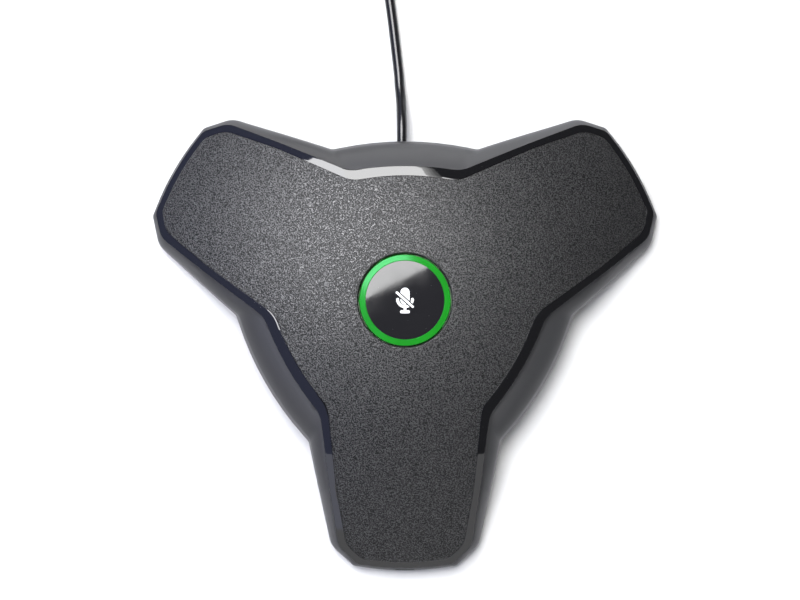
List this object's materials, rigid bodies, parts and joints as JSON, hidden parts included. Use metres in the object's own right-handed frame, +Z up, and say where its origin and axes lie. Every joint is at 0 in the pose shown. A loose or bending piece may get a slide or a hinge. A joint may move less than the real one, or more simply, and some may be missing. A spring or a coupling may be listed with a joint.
{
  "type": "conference table microphone",
  "caption": "Flat three-armed table microphone with a domed textured cover, gloss bezel, sprung mute button in a green light ring, and a coiled lead with a modular plug.",
  "frame": {"origin": "on the hub's vertical axis, at the sole of the rubber feet", "axes": "+Z up; the front arm points along -Y and the lead leaves towards +Y; +X is across the two rear arms"},
  "size_m": [0.152, 0.2233, 0.024],
  "materials": {
    "skirt_grey": "fine matte texture",
    "cover_textured": "spark-eroded, satin",
    "bezel_gloss": "polished",
    "underside_black": "fine matte texture",
    "foot_rubber": "matt",
    "screw_steel": "zinc plated",
    "ballast_steel": "blanked sheet",
    "cap_gloss": "polished",
    "icon_white": "satin",
    "ring_green": "frosted light guide",
    "inner_black": "moulded",
    "inner_white": "moulded",
    "board_green": "solder mask",
    "chip_black": "moulded",
    "can_tin": "tinned",
    "spring_steel": "drawn wire",
    "plunger_red": "moulded",
    "led_green": "clear lens",
    "connector_cream": "moulded",
    "capsule_metal": "drawn can",
    "mesh_dark": "woven",
    "lead_red": "smooth jacket",
    "cord_black": "smooth gloss jacket",
    "tie_black": "hook and loop",
    "plug_clear": "clear",
    "contact_gold": "gold plated"
  },
  "bodies": {
    "housing": {"base_shell": "skirt_grey", "bottom_plate": "underside_black", "bezel": "bezel_gloss", "top_cover": "cover_textured", "ballast_plate": "ballast_steel", "foot_ring": "foot_rubber", "foot_front": "foot_rubber", "foot_right": "foot_rubber", "foot_left": "foot_rubber", "case_screws": "screw_steel", "button_guide": "inner_white", "return_spring_1": "spring_steel", "return_spring_2": "spring_steel", "return_spring_3": "spring_steel", "switch_body": "chip_black", "status_leds": "led_green", "main_board": "board_green", "board_screws": "screw_steel", "audio_chip": "chip_black", "shield_can": "can_tin", "cable_header": "connector_cream", "cable_plug": "connector_cream", "mic_capsule_front": "capsule_metal", "mic_capsule_right": "capsule_metal", "mic_capsule_left": "capsule_metal", "mic_boot_front": "foot_rubber", "mic_boot_right": "foot_rubber", "mic_boot_left": "foot_rubber", "mic_mesh_front": "mesh_dark", "mic_mesh_right": "mesh_dark", "mic_mesh_left": "mesh_dark", "mic_lead_front": "lead_red", "mic_lead_right": "lead_red", "mic_lead_left": "lead_red", "mic_header_front": "connector_cream", "mic_header_right": "connector_cream", "mic_header_left": "connector_cream", "cord_grommet": "foot_rubber", "cable_clamp": "inner_black", "clamp_screws": "screw_steel", "inner_cord": "cord_black", "cord": "cord_black", "cord_coil": "cord_black", "cord_tail": "cord_black", "coil_tie": "tie_black", "plug_boot": "foot_rubber", "plug_body": "plug_clear", "plug_contacts": "contact_gold"},
    "button": {"button_cap": "cap_gloss", "mute_icon": "icon_white", "light_ring": "ring_green", "button_carrier": "inner_black"},
    "plunger": {"switch_plunger": "plunger_red"},
    "latch": {"plug_latch": "plug_clear"}
  },
  "joints": [
    {"name": "mute_press", "type": "slide", "parent": "housing", "child": "button", "axis": [0, 0, -1], "range_m": [0, 0.0006], "stiffness_N_per_m": 1500, "springref_m": -0.0004, "deforming": ["return_spring_1", "return_spring_2", "return_spring_3"]},
    {"name": "switch_travel", "type": "slide", "parent": "housing", "child": "plunger", "axis": [0, 0, -1], "range_m": [0, 0.0006]},
    {"name": "latch_flex", "type": "hinge", "parent": "housing", "child": "latch", "pos_m": [-0.0603, 0.0992, 0.0069], "axis": [-1, 0, 0], "range_deg": [0, 10], "stiffness_Nm_per_rad": 0.02}
  ],
  "couplings": [
    {"joint": "switch_travel", "follows": "mute_press", "ratio": 1}
  ]
}
